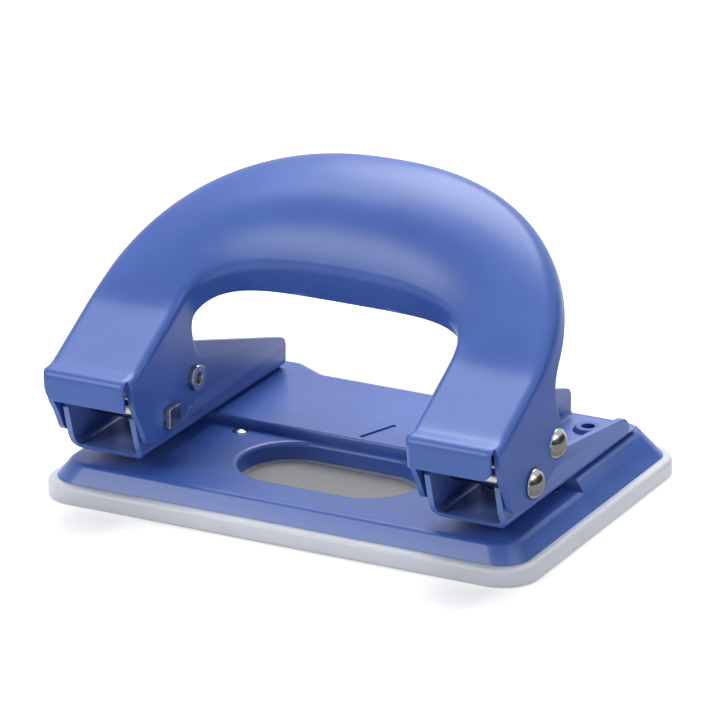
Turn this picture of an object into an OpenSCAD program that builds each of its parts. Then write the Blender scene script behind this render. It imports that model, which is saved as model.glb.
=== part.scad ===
// Two-hole paper punch: pressed steel base, two channel brackets, an arched lever handle,
// two sprung punches over die plates, and a clip-on tray that catches the paper discs.
// Origin: middle of the tray's underside. +X right, +Y away from the paper side, +Z up. Millimetres.

/* [Paper standard] */
// Distance between the two hole centres
hole_spacing = 80; // [76:1:84]
// Diameter of a punched hole
hole_d = 6; // [5:0.1:6.4]
// Distance from the paper's edge to the hole centres
hole_edge = 12; // [11:0.5:13]
// Height of the slot that the paper slides into
paper_slot = 2.3; // [1.8:0.1:3]

/* [Base plate] */
// Width over the lower edge of the skirt
base_w = 104; // [103:0.2:112]
// Depth over the lower edge of the skirt
base_d = 72; // [71:0.2:78]
// Radius of the skirt's corners at the lower edge
base_corner = 6; // [5:0.5:10]
// Sheet thickness of the base plate
base_sheet = 1; // [0.8:0.1:1.4]
// Height of the paper table over the skirt's lower edge
table_rise = 3.6; // [3.4:0.1:5]
// How far the skirt leans in for each millimetre of height
skirt_draft = 0.65; // [0.4:0.05:0.7]
// Width of the slope at the rear, between the brackets
slope_w = 54; // [40:1:58]
// Depth of that slope
slope_d = 8.2; // [6:0.1:10]
// Place of the paper stop, measured from the middle of the base
stop_y = -1.4; // [-3:0.1:1]

/* [Window] */
// Width of the window in front of the paper stop
window_w = 38.6; // [30:0.2:44]
// Depth of the window
window_d = 21.8; // [16:0.2:22]
// Ledge between the window and the paper stop
window_ledge = 1.2; // [0.6:0.1:2]
// Thickness of the collar turned down round the window
collar_t = 1; // [0.8:0.1:1.4]

/* [Chip tray] */
// How far the tray's rim stands out round the skirt
rim_proud = 1.9; // [1:0.1:3]
// Height of the rim
rim_h = 3.8; // [3.4:0.1:6]
// Thickness of the tray's floor and walls
tray_t = 1.2; // [1:0.1:1.6]
// Height of the lip that fits inside the skirt
lip_h = 1.4; // [1:0.1:1.8]

/* [Brackets] */
// Width over a bracket's side walls
bracket_w = 16.2; // [15.6:0.1:17]
// Sheet thickness of a bracket
bracket_sheet = 1.2; // [1:0.1:1.3]
// Outside radius of a bracket's bends
bracket_bend = 2.2; // [1.8:0.1:2.6]
// How far the bracket's floor reaches in front of the punch
bracket_front = 17.8; // [16:0.2:20]
// How far a bracket reaches behind the paper stop on its inner side
bracket_back = 29.2; // [27:0.2:30]
// How much shorter the outer wall is than the inner wall
outer_short = 4.3; // [2:0.1:6]
// Height of the outer wall over the platform at its rear
outer_h = 5; // [4.6:0.2:6]
// Height of the inner wall over the platform at its rear
inner_h = 6.7; // [6:0.1:8]
// Slope of the inner wall's top edge
inner_slope = 17; // [14:0.5:18]

/* [Lever] */
// Height of the pivot over the bracket's floor
pivot_rise = 6.4; // [6.2:0.1:7]
// Distance from the pivot to the drive pin, measured along the base
lever_reach = 10.4; // [10.2:0.1:11.5]
// Height of the drive pin over the pivot at rest
lever_rise = 4.7; // [4.5:0.1:5]
// Stroke of the punches
stroke = 5.2; // [5:0.1:5.3]

/* [Handle] */
// Sheet thickness of the handle
handle_sheet = 1.2; // [1:0.1:1.4]
// Play between the handle's flanges and a bracket's walls
side_gap = 0.7; // [0.5:0.05:1]
// Front end of the flat on each arm, in front of the pivot
flat_ahead = 12.5; // [12:0.1:14]
// Height of that end over the pivot
flat_above = 12.6; // [12:0.1:13.5]
// Depth of the ledge in front of the flat
lip_ledge = 4.7; // [4.2:0.1:5.4]
// Slope of the ledge
ledge_tilt = 7; // [3:1:15]
// Depth of the lip bent down from the ledge
lip_drop = 6.5; // [5.5:0.1:7]
// Lean of the lip from upright
lip_lean = 8; // [4:1:14]
// Slope of the flat on each arm at rest
arm_tilt = 29; // [27:0.5:31]
// Length of the flat on each arm
arm_flat = 18.2; // [17:0.2:20]
// Slope of the arch at rest
arch_tilt = 40; // [37:0.5:43]
// Depth of the finger opening beyond the flats
opening_reach = 14.5; // [13:0.1:17]
// Width of the grip at the top of the arch
grip_w = 29.5; // [26:0.2:31]
// How far the grip's face is crowned
grip_crown = 2.7; // [1:0.1:4]
// Depth of the flange round the finger opening at the top of the arch
inner_flange = 8.6; // [7:0.1:10]
// Depth of the flange round the outside of the arch
outer_flange = 6; // [5:0.1:8]
// Lean of the inner flange at the top of the arch
flange_lean = 19; // [10:1:24]

/* [Pins] */
// Diameter of the pivot pins and drive pins
pin_d = 4; // [3.6:0.1:4.4]
// Diameter of the domed pin heads
pin_head_d = 6.4; // [5.8:0.1:7]
// Height of the domed pin heads
pin_head_h = 1.9; // [1.4:0.1:2.2]
// Length of the riveted pin ends
pin_tail_h = 1.1; // [0.8:0.1:1.6]

/* [Punch parts] */
// Thickness of the die plates
die_t = 1.5; // [1.2:0.1:1.7]
// Diameter of the spring washers
washer_d = 10.4; // [9.8:0.1:11]
// Thickness of the spring washers
washer_t = 0.5; // [0.4:0.05:0.7]
// Thickness of the retaining clips
clip_t = 0.6; // [0.5:0.05:0.7]
// Wire diameter of the return springs
wire_d = 0.7; // [0.6:0.05:0.75]
// Turns of a return spring
spring_turns = 3.5; // [3:0.5:3.5]
// Space left under the washer at the end of the stroke
spring_rest = 0.9; // [0.8:0.05:1.1]

/* [Rivets] */
// Head diameter of the hollow rivets that hold a bracket
eyelet_head_d = 6.4; // [5.6:0.1:7]
// Shank diameter of those rivets
eyelet_d = 4; // [3.4:0.1:4.4]
// Head diameter of the rivets that hold a die plate
die_rivet_head_d = 3.2; // [2.8:0.1:3.4]
// Shank diameter of those rivets
die_rivet_d = 2.2; // [1.8:0.1:2.4]

/* [Fits] */
// Radial play of a turning or sliding fit
running_fit = 0.05; // [0.02:0.01:0.08]
// Radial play of a fixed pin or rivet
fixed_fit = 0.02; // [0.01:0.01:0.05]
// Play between pieces that move past each other
clear = 0.3; // [0.25:0.05:0.4]
// Play between the base and the tray it stands on
seat_gap = 0.1; // [0.05:0.05:0.2]

/* [Hidden] */
$fn = 48;

// Heights
base_z = rim_h + seat_gap;
table_z = base_z + table_rise;
platform_z = table_z + paper_slot;
floor_z = platform_z + bracket_sheet;
pivot_z = floor_z + pivot_rise;
drive_z = pivot_z + lever_rise;
cut_over = 1;
weld = 0.05;
least_r = 0.3;

// Places along and across
head_x = hole_spacing / 2;
punch_y = stop_y - hole_edge;
lever_r = norm([lever_reach, lever_rise]);
lever_angle = atan2(lever_rise, lever_reach);
press_angle = lever_angle - asin((lever_rise - stroke) / lever_r);
pivot_y = punch_y - lever_r;
drive_y = pivot_y + lever_reach;

// Tray and window
// Inset of the hollow, one sheet thickness under the base, that leaves the skirt as thick as the sheet
skirt_in = base_sheet * (sqrt(1 + skirt_draft * skirt_draft) - skirt_draft);
lip_inset = skirt_in + (lip_h - seat_gap + base_sheet) * skirt_draft + clear;
window_y = stop_y - window_ledge - window_d / 2;
island_z = rim_h - clear / 2;
mark_l = 9.5;
mark_w = 1.1;
mark_angle = -20;
mark_deep = 0.35;

// Ends of the bracket walls
inner_round = 2.4;
outer_round = 4.2;
outer_slope = 6;
end_steps = 6;
crest_margin = 2;
crest_y = drive_y + crest_margin;
step_run = 3;
step_drop = 1;
// Front edge of the walls: lean forward and height over the floor, from the foot up
front_lean = [[1.3, 0.3], [2.5, 2.4], [4.4, 8.8]];

// Handle across the arms
arm_w = bracket_w + 2 * (side_gap + handle_sheet);
arm_in = head_x - arm_w / 2;
arm_out = head_x + arm_w / 2;
flat_y = pivot_y - flat_ahead;
flat_z = pivot_z + flat_above;
arch_lap = 0.3;
arch_sink = 0.04;
bend_r = 1.8;
lip_bend = 2;
lip_lap = 0.3;
lip_sink = 0.1;
lip_steps = 6;
lip_root = 1.5;
lip_side = 1;
ledge_lap = 0.8;
ledge_flange = 3;
ledge_inset = 0.05;
lip_corner = 2.5;
root_flange = 6.9;
plate_depth = 9.4;
plate_sink = 0.3;
plate_past = 1.6;
plate_stop = 1;
flange_end = 0.6;
// Outline of the flanges: toe in front of the pivot, nose under the lip, heel behind the drive pin
toe_r = 2.4;
toe_ahead = 7.2;
toe_below = 1.2;
toe_turn = 208;
nose_top = 0.8;
nose = [2.2, 2.9];
heel = [2.4, 1];
boss_rim = 1.2;
drive_rim = 0.6;

// Arch: outline powers, bend radii and the number of sections
opening_power = 2.65;
grip_power = 2.3;
grip_waist = 0.06;
top_inner_r = 4.8;
top_outer_r = 6.8;
blend_power = 0.66;
flange_power = 2.5;
arch_steps = 40;
arc_steps = 4;
crown_steps = 6;
arch_root = 3;
root_inset = 0.15;
plate_lap = 2;

// Pin ends, as shares of the pin's diameter
tail_square = 1.12;
tail_round = 0.6;
tail_roll = 1.32;
tail_bore = 0.62;

// Punch parts
punch_top = drive_z - pin_d / 2 - running_fit;
punch_tip = platform_z + running_fit;
washer_z = floor_z + stroke + spring_rest;
clip_z = washer_z + washer_t;
groove_deep = 0.7;
groove_d = hole_d - 2 * groove_deep;
clip_rim = 1.5;
clip_d = hole_d + 2 * clip_rim;
clip_mouth = 0.8;
tip_scoop = 9;
scoop_deep = 0.9;
die_hole_play = 0.3;
spring_low_r = bracket_w / 2 - bracket_sheet - wire_d / 2 - clear;
spring_top_r = hole_d / 2 + wire_d / 2 + clear;
spring_h = washer_z - floor_z - 2 * running_fit;
rings_per_turn = 8;
wire_sides = 6;

// Die plates and rivets
die_inward = 16.4;
die_margin = 3.3;
die_ahead = 7.8;
die_setback = 0.6;
die_in = head_x - die_inward;
die_out = base_w / 2 - base_sheet - (table_z - base_sheet - base_z) * skirt_draft - die_margin;
die_front = punch_y - die_ahead;
die_back = stop_y - die_setback;
die_z = table_z - base_sheet - die_t;
die_rivet_inset = 2.3;
die_rivet_head_h = 0.5;
die_rivet_tail_h = 0.6;
die_tail = 1.5;
eyelet_head_h = 0.9;
eyelet_tail_h = 0.8;
eyelet_wall = 0.6;
eyelet_bore = eyelet_d - 2 * eyelet_wall;
eyelet_taper = 1.4;
eyelet_tail = 1.35;
eyelet_first = 7.6;
eyelet_pitch = 15;
eyelet_ys = [stop_y + eyelet_first, stop_y + eyelet_first + eyelet_pitch];

steel_blue = "#4763B8";
frosted = "#DCE2EE";
nickel = "#C9C9C4";
tool_steel = "#8E9094";
spring_steel = "#6E7074";

// Number helpers
function mix(a, b, f) = a + (b - a) * f;
function signed_power(v, p) = sign(v) * pow(abs(v), p);
function arc_points(centre, r, from, to, steps) =
    [for (i = [0:steps]) let (a = mix(from, to, i / steps)) centre + r * [cos(a), sin(a)]];

// Flat shapes with true arcs
module rounded_rect(w, d, r) {
    square([w - 2 * r, d], center = true);
    square([w, d - 2 * r], center = true);
    for (x = [-1, 1], y = [-1, 1])
        translate([x * (w / 2 - r), y * (d / 2 - r)]) circle(r);
}

module stadium(w, d) {
    square([w - d, d], center = true);
    for (x = [-1, 1]) translate([x * (w - d) / 2, 0]) circle(d / 2);
}

// Stands a drawing of the YZ plane upright and gives it a thickness along +X
module side_plate(x, t) {
    translate([x, 0, 0]) rotate([90, 0, 90]) linear_extrude(t) children();
}

// A rod along +X
module rod(x, y, z, d, l) {
    translate([x, y, z]) rotate([0, 90, 0]) cylinder(d = d, h = l);
}

// Mirrors a right-hand piece to the left when side is -1
module on_side(side) {
    if (side < 0) mirror([1, 0, 0]) children();
    else children();
}

// Base plate
module skirt_form(inset, top) {
    w = base_w - 2 * inset;
    d = base_d - 2 * inset;
    r = base_corner - inset;
    rise = top - base_z;
    hull()
        for (x = [-1, 1], y = [-1, 1])
            translate([x * (w / 2 - r), y * (d / 2 - r), base_z])
                cylinder(r1 = r, r2 = max(r - rise * skirt_draft, least_r), h = rise, $fn = 32);
}

// Space cut off behind the slope, k deeper than its face
module rear_slope(k) {
    lean = atan2(platform_z - base_z, slope_d);
    foot = [base_d / 2 - k * sin(lean), base_z - k * cos(lean)];
    side_plate(-slope_w / 2 - k, slope_w + 2 * k)
        polygon([
            foot,
            foot + 2 * slope_d * [-cos(lean), sin(lean)],
            foot + [base_d, slope_d],
            foot + [base_d, 0]
        ]);
}

module base_outer() {
    difference() {
        intersection() {
            skirt_form(0, platform_z);
            union() {
                translate([-base_w, -base_d, 0]) cube([2 * base_w, 2 * base_d, table_z]);
                translate([-base_w, stop_y, 0]) cube([2 * base_w, base_d, platform_z + cut_over]);
            }
        }
        rear_slope(0);
    }
}

module base_hollow() {
    difference() {
        intersection() {
            translate([0, 0, -base_sheet]) skirt_form(skirt_in, platform_z + base_sheet);
            union() {
                translate([-base_w, -base_d, 0]) cube([2 * base_w, 2 * base_d, table_z - base_sheet]);
                translate([-base_w, stop_y + base_sheet, 0])
                    cube([2 * base_w, base_d, platform_z - base_sheet]);
            }
        }
        rear_slope(base_sheet);
    }
}

module window_cut(grow) {
    translate([0, window_y, base_z]) linear_extrude(table_rise + paper_slot + cut_over)
        stadium(window_w + 2 * grow, window_d + 2 * grow);
}

module collar() {
    intersection() {
        window_cut(collar_t);
        translate([-base_w, -base_d, base_z]) cube([2 * base_w, 2 * base_d, table_rise]);
    }
}

module centre_mark() {
    translate([0, stop_y + mark_w, platform_z - mark_deep]) rotate([0, 0, mark_angle])
        translate([-mark_w / 2, 0, 0]) cube([mark_w, mark_l, cut_over]);
}

module base_plate() {
    color(steel_blue) difference() {
        union() {
            difference() {
                base_outer();
                base_hollow();
            }
            collar();
        }
        window_cut(0);
        centre_mark();
        for (side = [-1, 1]) {
            translate([side * head_x, punch_y, base_z])
                cylinder(d = hole_d + 2 * die_hole_play, h = table_rise + cut_over);
            for (x = die_rivet_xs())
                translate([side * x, die_rivet_y(), base_z])
                    cylinder(d = die_rivet_d + 2 * fixed_fit, h = table_rise + cut_over);
            for (y = eyelet_ys)
                translate([side * head_x, y, base_z])
                    cylinder(d = eyelet_d + 2 * fixed_fit, h = platform_z);
        }
    }
}

// Chip tray: its outlines lie inside or outside the skirt's lower edge
module base_outline(inset) {
    rounded_rect(base_w - 2 * inset, base_d - 2 * inset, base_corner - inset);
}

// Lip inside the skirt, cut back where the rear slope comes in
module tray_lip() {
    difference() {
        linear_extrude(rim_h + lip_h) base_outline(lip_inset);
        intersection() {
            rear_slope(base_sheet + clear);
            translate([-base_w, 0, rim_h]) cube([2 * base_w, base_d, lip_h + cut_over]);
        }
    }
}

module chip_tray() {
    cavity_inset = lip_inset + tray_t;
    island_grow = 2 * (collar_t + tray_t);
    color(frosted) difference() {
        union() {
            difference() {
                union() {
                    linear_extrude(rim_h) base_outline(-rim_proud);
                    tray_lip();
                }
                translate([0, 0, tray_t]) linear_extrude(rim_h + lip_h) base_outline(cavity_inset);
            }
            translate([0, window_y, 0]) linear_extrude(island_z)
                stadium(window_w + island_grow, window_d + island_grow);
        }
        translate([0, window_y, -cut_over]) linear_extrude(island_z - tray_t + cut_over)
            stadium(window_w + 2 * collar_t, window_d + 2 * collar_t);
    }
}

// Brackets, drawn for the right side: the inner wall is at smaller x
function wall_front() = concat(
    [[punch_y - bracket_front, platform_z]],
    [for (p = front_lean) [punch_y - bracket_front - p[0], floor_z + p[1]]]
);
function inner_wall_top(y) = platform_z + inner_h + (stop_y + bracket_back - y) * tan(inner_slope);

// Rounded upper rear corner of a wall whose top edge slopes down to the height z at y
function wall_end(y, z, slope, r) =
    arc_points([y - r, z + r * tan(slope) - r / cos(slope)], r, 90 - slope, 0, end_steps);

module inner_profile() {
    back = stop_y + bracket_back;
    polygon(concat(wall_front(), [
        [pivot_y + crest_margin, inner_wall_top(crest_y)],
        [crest_y, inner_wall_top(crest_y)]
    ], wall_end(back, inner_wall_top(back), inner_slope, inner_round), [[back, platform_z]]));
}

module outer_profile() {
    back = stop_y + bracket_back - outer_short;
    step_y = pivot_y + lever_r + pin_d / 2 + clear + bracket_sheet;
    step_z = platform_z + outer_h + (back - step_y) * tan(outer_slope);
    polygon(concat(wall_front(), [
        [pivot_y + crest_margin, inner_wall_top(crest_y)],
        [step_y - step_run, inner_wall_top(crest_y)],
        [step_y, drive_z - step_drop],
        [step_y + step_run, step_z]
    ], wall_end(back, platform_z + outer_h, outer_slope, outer_round), [[back, platform_z]]));
}

// Floor of a bracket, full length
module floor_profile() {
    polygon([
        [punch_y - bracket_front, platform_z],
        [punch_y - bracket_front, floor_z],
        [stop_y + bracket_back, floor_z],
        [stop_y + bracket_back, platform_z]
    ]);
}

module channel_section() {
    w = bracket_w;
    t = bracket_sheet;
    r = bracket_bend;
    tall = 40;
    difference() {
        union() {
            translate([-w / 2, r]) square([w, tall]);
            translate([-w / 2 + r, 0]) square([w - 2 * r, r]);
            for (x = [-1, 1]) translate([x * (w / 2 - r), r]) circle(r);
        }
        translate([-w / 2 + t, r]) square([w - 2 * t, tall + cut_over]);
        translate([-w / 2 + r, t]) square([w - 2 * r, r]);
        for (x = [-1, 1]) translate([x * (w / 2 - r), r]) circle(r - t);
    }
}

// Slot that the drive pin sweeps, as an arc round the pivot
module pin_slot(x, l) {
    d = pin_d + 2 * clear;
    slot_from = lever_angle;
    slot_to = lever_angle - press_angle;
    translate([x, pivot_y, pivot_z]) rotate([90, 0, 90]) {
        linear_extrude(l) intersection() {
            difference() {
                circle(lever_r + d / 2);
                circle(lever_r - d / 2);
            }
            polygon([[0, 0], 2 * lever_r * [cos(slot_from), sin(slot_from)],
                2 * lever_r * [cos(slot_to), sin(slot_to)]]);
        }
        for (a = [slot_from, slot_to])
            translate([lever_r * cos(a), lever_r * sin(a), 0]) cylinder(d = d, h = l);
    }
}

module bracket(side) {
    length = 2 * base_d;
    color(steel_blue) on_side(side) difference() {
        intersection() {
            translate([head_x, length / 2, platform_z]) rotate([90, 0, 0])
                linear_extrude(length) channel_section();
            union() {
                side_plate(head_x - bracket_w, bracket_w) inner_profile();
                side_plate(head_x, bracket_w) outer_profile();
                side_plate(head_x - bracket_w / 2, bracket_w) floor_profile();
            }
        }
        pin_slot(head_x - bracket_w, 2 * bracket_w);
        rod(head_x - bracket_w, pivot_y, pivot_z, pin_d + 2 * fixed_fit, 2 * bracket_w);
        translate([head_x, punch_y, table_z])
            cylinder(d = hole_d + 2 * running_fit, h = pivot_z - table_z);
        for (y = eyelet_ys)
            translate([head_x, y, table_z]) cylinder(d = eyelet_d + 2 * fixed_fit, h = pivot_z - table_z);
    }
}

// Handle. A point s along the slope and n square to it becomes a point of the YZ plane
function arm_point(s, n) = [
    flat_y + s * cos(arm_tilt) - n * sin(arm_tilt),
    flat_z + s * sin(arm_tilt) + n * cos(arm_tilt)
];
function arch_point(s, n) = arm_point(arm_flat - arch_lap, -arch_sink) + [
    s * cos(arch_tilt) - n * sin(arch_tilt),
    s * sin(arch_tilt) + n * cos(arch_tilt)
];
function arch_place(p, n) = concat(p[0], arch_point(p[1], n));
function arch_curve(half_w, reach, power, a) = [
    half_w * signed_power(cos(a), 2 / power),
    reach * signed_power(sin(a), 2 / power)
];
function opening_edge(a) = arch_curve(arm_in, opening_reach, opening_power, a);
function grip_edge(a) =
    arch_curve(arm_out * (1 - grip_waist * sin(a)), opening_reach + grip_w, grip_power, a);

// One side of the sheet across the grip, from the inner flange to the outer flange. f and g grow
// from 0 at the arms to 1 at the top, k is the depth under the face
function grip_face(w, f, g, k) =
    let (
        ri = mix(bend_r, top_inner_r, f) - k,
        ro = mix(bend_r, top_outer_r, f) - k,
        lean = flange_lean * g,
        inner = [k + ri, -k - ri],
        outer = [w - k - ro, -k - ro],
        start = inner + ri * [cos(180 - lean), sin(180 - lean)],
        foot = start - (start[1] + mix(root_flange, inner_flange, g)) * [tan(lean), 1]
    )
    concat(
        [foot],
        arc_points(inner, ri, 180 - lean, 90, arc_steps),
        [for (i = [1:crown_steps - 1])
            let (u = i / crown_steps)
            [mix(inner[0], outer[0], u), -k + grip_crown * f * 4 * u * (1 - u)]],
        arc_points(outer, ro, 90, 0, arc_steps),
        [[w - k, -mix(outer_flange, top_outer_r + flange_end, f)]]
    );

// Ring of points of the sheet at angle a round the arch, moved back by root along the slope
function grip_ring(a, root, inset) =
    let (
        from = opening_edge(a),
        across = grip_edge(a) - from,
        w = norm(across) - 2 * inset,
        dir = across / norm(across),
        f = pow(sin(a), blend_power),
        g = pow(sin(a), flange_power),
        profile = concat(grip_face(w, f, g, 0), reverse(grip_face(w, f, g, handle_sheet)))
    )
    [for (p = profile) arch_place(from + (p[0] + inset) * dir - [0, root], p[1])];
function reverse(list) = [for (i = [len(list) - 1:-1:0]) list[i]];

module arch() {
    rings = concat(
        [grip_ring(0, arch_root, root_inset)],
        [for (i = [0:arch_steps]) grip_ring(180 * i / arch_steps, 0, root_inset)],
        [grip_ring(180, arch_root, root_inset)]
    );
    n = len(rings[0]);
    last = len(rings) - 1;
    sides = [for (i = [0:last - 1], j = [0:n - 1])
        let (a = i * n + j, b = i * n + (j + 1) % n, c = a + n, d = b + n)
        each [[a, c, b], [b, c, d]]];
    caps = [for (j = [0:n / 2 - 2])
        let (a = j, b = j + 1, c = n - 1 - j, d = n - 2 - j, e = last * n)
        each [[a, b, c], [b, d, c], [a + e, c + e, b + e], [b + e, c + e, d + e]]];
    polyhedron(points = [for (r = rings) each r], faces = concat(sides, caps), convexity = 8);
}

// Cross-section of an arm: flat top, two bends and the upper part of both flanges, inner and outer deep,
// with both faces of the sheet drawn in by an inset
module arm_section(inset, inner, outer) {
    difference() {
        arm_outline(inset, inner, outer);
        arm_outline(handle_sheet - inset, inner + cut_over, outer + cut_over);
    }
}

module arm_outline(k, inner, outer) {
    r = bend_r - k;
    half = arm_w / 2 - k;
    for (side = [[-1, inner], [1, outer]])
        translate([side[0] > 0 ? 0 : -half, -side[1]]) square([half, side[1] - k - r]);
    translate([-half + r, -k - r]) square([2 * (half - r), r]);
    for (x = [-1, 1]) translate([x * (half - r), -k - r]) circle(r);
}

module arm_channel() {
    end = arm_point(arm_flat, 0);
    translate([head_x, end[0], end[1]]) rotate([90 + arm_tilt, 0, 0])
        linear_extrude(arm_flat) arm_section(0, root_flange, outer_flange);
}

// Front lip: a short ledge in front of the flat, turned down round a bend
function heading(a) = [cos(a), sin(a)];
ledge_way = 180 + ledge_tilt;
lip_way = 270 + lip_lean;
lip_run = lip_bend * tan((lip_way - ledge_way) / 2);

// The bends of the flat go on along the ledge, as far as the lip's own bend
module ledge_channel() {
    back = arm_point(0, 0) - ledge_lap * heading(ledge_way);
    translate([head_x, back[0], back[1]]) rotate([90 + ledge_tilt, 0, 0])
        linear_extrude(ledge_lap + lip_ledge - lip_run)
            arm_section(ledge_inset, ledge_flange, ledge_flange);
}

module lip_profile() {
    root = arm_point(lip_lap, -lip_sink);
    corner = root + lip_ledge * heading(ledge_way);
    centre = corner - lip_run * heading(ledge_way) + lip_bend * heading(ledge_way + 90);
    outer = arc_points(centre, lip_bend, ledge_way - 90, lip_way - 90, lip_steps);
    inner = arc_points(centre, lip_bend - handle_sheet, lip_way - 90, ledge_way - 90, lip_steps);
    tip = corner + lip_drop * heading(lip_way);
    half_turn = (arm_tilt - ledge_tilt) / 2;
    polygon(concat(
        [arm_point(lip_root, -lip_sink), root], outer,
        [tip, tip + handle_sheet * heading(lip_way + 90)], inner,
        [root + handle_sheet / cos(half_turn) * heading(270 + arm_tilt - half_turn),
            arm_point(lip_root, lip_sink - handle_sheet)]
    ));
}

module front_lip() {
    low_z = flat_z - lip_ledge * sin(ledge_tilt) - lip_drop * cos(lip_lean);
    far = arm_out - lip_side;
    difference() {
        side_plate(arm_in + lip_side, arm_w - 2 * lip_side) lip_profile();
        translate([far - lip_corner, flat_y, low_z + lip_corner]) rotate([90, 0, 0])
            linear_extrude(2 * lip_ledge) difference() {
                translate([0, -2 * lip_corner]) square(2 * lip_corner);
                circle(lip_corner);
            }
    }
}

// Outline of a side flange, from the lip down round the pins and up to the arch
module flange_outline(into_arch) {
    toe = [pivot_y - toe_ahead, pivot_z - toe_below];
    boss_r = pin_head_d / 2 + boss_rim;
    drive_boss_r = pin_head_d / 2 + drive_rim;
    polygon([
        arm_point(plate_sink, -bend_r - plate_sink),
        [flat_y - nose_top, flat_z - bend_r - plate_sink],
        [flat_y, flat_z] - nose,
        toe + toe_r * heading(toe_turn),
        [toe[0], toe[1] - toe_r],
        [pivot_y, pivot_z - boss_r],
        [drive_y, drive_z - boss_r] + heel,
        [drive_y + drive_boss_r, drive_z],
        arm_point(arm_flat + plate_past, -plate_depth),
        into_arch ? arch_point(plate_lap, -root_flange) : arm_point(arm_flat + plate_stop, -root_flange),
        arm_point(arm_flat, -bend_r - plate_sink)
    ]);
    translate(toe) circle(toe_r);
    translate([pivot_y, pivot_z]) circle(boss_r);
    translate([drive_y, drive_z]) circle(drive_boss_r);
}

module handle() {
    color(steel_blue) difference() {
        union() {
            arch();
            for (side = [-1, 1]) on_side(side) {
                arm_channel();
                ledge_channel();
                front_lip();
                side_plate(arm_in, handle_sheet) flange_outline(true);
                side_plate(arm_out - handle_sheet, handle_sheet) flange_outline(false);
            }
        }
        for (side = [-1, 1]) on_side(side) {
            rod(arm_in - cut_over, pivot_y, pivot_z, pin_d + 2 * running_fit, arm_w + 2 * cut_over);
            rod(arm_in - cut_over, drive_y, drive_z, pin_d + 2 * fixed_fit, arm_w + 2 * cut_over);
        }
    }
}

// Domed head standing on the XY plane
module dome(d, h) {
    ball = (d * d / 4 + h * h) / (2 * h);
    rotate_extrude($fn = 64) intersection() {
        translate([0, h - ball]) circle(ball, $fn = 96);
        square([d, h]);
    }
}

// Pivot pins are held by the brackets, so their heads stand clear of the turning flanges
module pivot_pin(side) {
    tail_w = tail_square * pin_d;
    color(nickel) on_side(side) {
        rod(arm_in - clear - weld, pivot_y, pivot_z, pin_d, arm_w + 2 * clear + 2 * weld);
        translate([arm_out + clear, pivot_y, pivot_z]) rotate([0, 90, 0]) dome(pin_head_d, pin_head_h);
        translate([arm_in - clear - pin_tail_h, pivot_y, pivot_z]) rotate([0, 90, 0])
            linear_extrude(pin_tail_h) rounded_rect(tail_w, tail_w, tail_round);
    }
}

// Drive pins are riveted in the handle: domed outside, rolled over a hollow end inside
module drive_pin(side) {
    bore_l = 2 * pin_tail_h + cut_over;
    color(nickel) on_side(side) difference() {
        union() {
            rod(arm_in - weld, drive_y, drive_z, pin_d, arm_w + 2 * weld);
            translate([arm_out, drive_y, drive_z]) rotate([0, 90, 0]) dome(pin_head_d, pin_head_h);
            rod(arm_in - pin_tail_h, drive_y, drive_z, tail_roll * pin_d, pin_tail_h);
        }
        rod(arm_in - pin_tail_h - cut_over, drive_y, drive_z, tail_bore * pin_d, bore_l);
    }
}

// Punches: hollow-ground tip below, groove for the clip above
module punch(side) {
    color(tool_steel) on_side(side) translate([head_x, punch_y, 0]) difference() {
        translate([0, 0, punch_tip]) cylinder(d = hole_d, h = punch_top - punch_tip);
        translate([0, hole_d, punch_tip - tip_scoop + scoop_deep]) rotate([90, 0, 0])
            cylinder(r = tip_scoop, h = 2 * hole_d, $fn = 96);
        translate([0, 0, clip_z - fixed_fit]) difference() {
            cylinder(d = hole_d + cut_over, h = clip_t + 2 * fixed_fit);
            translate([0, 0, -cut_over]) cylinder(d = groove_d, h = clip_t + 2 * cut_over);
        }
    }
}

module spring_washer(side) {
    color(nickel) on_side(side) translate([head_x, punch_y, washer_z]) difference() {
        cylinder(d = washer_d, h = washer_t);
        translate([0, 0, -cut_over]) cylinder(d = hole_d + 2 * running_fit, h = washer_t + 2 * cut_over);
    }
}

module punch_clip(side) {
    mouth = clip_mouth * groove_d;
    color(tool_steel) on_side(side) translate([head_x, punch_y, clip_z]) linear_extrude(clip_t)
    difference() {
        circle(d = clip_d);
        circle(d = groove_d + 2 * fixed_fit);
        translate([-mouth / 2, -clip_d]) square([mouth, clip_d]);
    }
}

// Return springs: one cone-shaped coil of round wire, wide end on the bracket's floor
function coil_point(turn) =
    let (u = turn / spring_turns, r = mix(spring_low_r, spring_top_r, u))
    [r * cos(360 * turn), r * sin(360 * turn), mix(wire_d / 2, spring_h - wire_d / 2, u)];
function coil_ring(turn) =
    let (c = coil_point(turn), out = [cos(360 * turn), sin(360 * turn), 0])
    [for (i = [0:wire_sides - 1])
        let (a = 360 * i / wire_sides) c + wire_d / 2 * (cos(a) * out + sin(a) * [0, 0, 1])];
coil_count = spring_turns * rings_per_turn;
coil_gap = min([for (i = [0:coil_count - 1], j = [i + rings_per_turn / 2:coil_count])
    norm(coil_point(i / rings_per_turn) - coil_point(j / rings_per_turn)) - wire_d]);
echo("least gap between spring turns", coil_gap);

module return_spring(side) {
    n = wire_sides;
    points = [for (i = [0:coil_count]) each coil_ring(i / rings_per_turn)];
    tube = [for (i = [0:coil_count - 1], j = [0:n - 1])
        let (a = i * n + j, b = i * n + (j + 1) % n)
        each [[a, b, a + n], [b, b + n, a + n]]];
    ends = [for (j = [1:n - 2])
        let (e = coil_count * n)
        each [[0, j + 1, j], [e, e + j, e + j + 1]]];
    color(spring_steel) on_side(side) translate([head_x, punch_y, floor_z + running_fit])
        polyhedron(points = points, faces = concat(tube, ends), convexity = 6);
}

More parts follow.
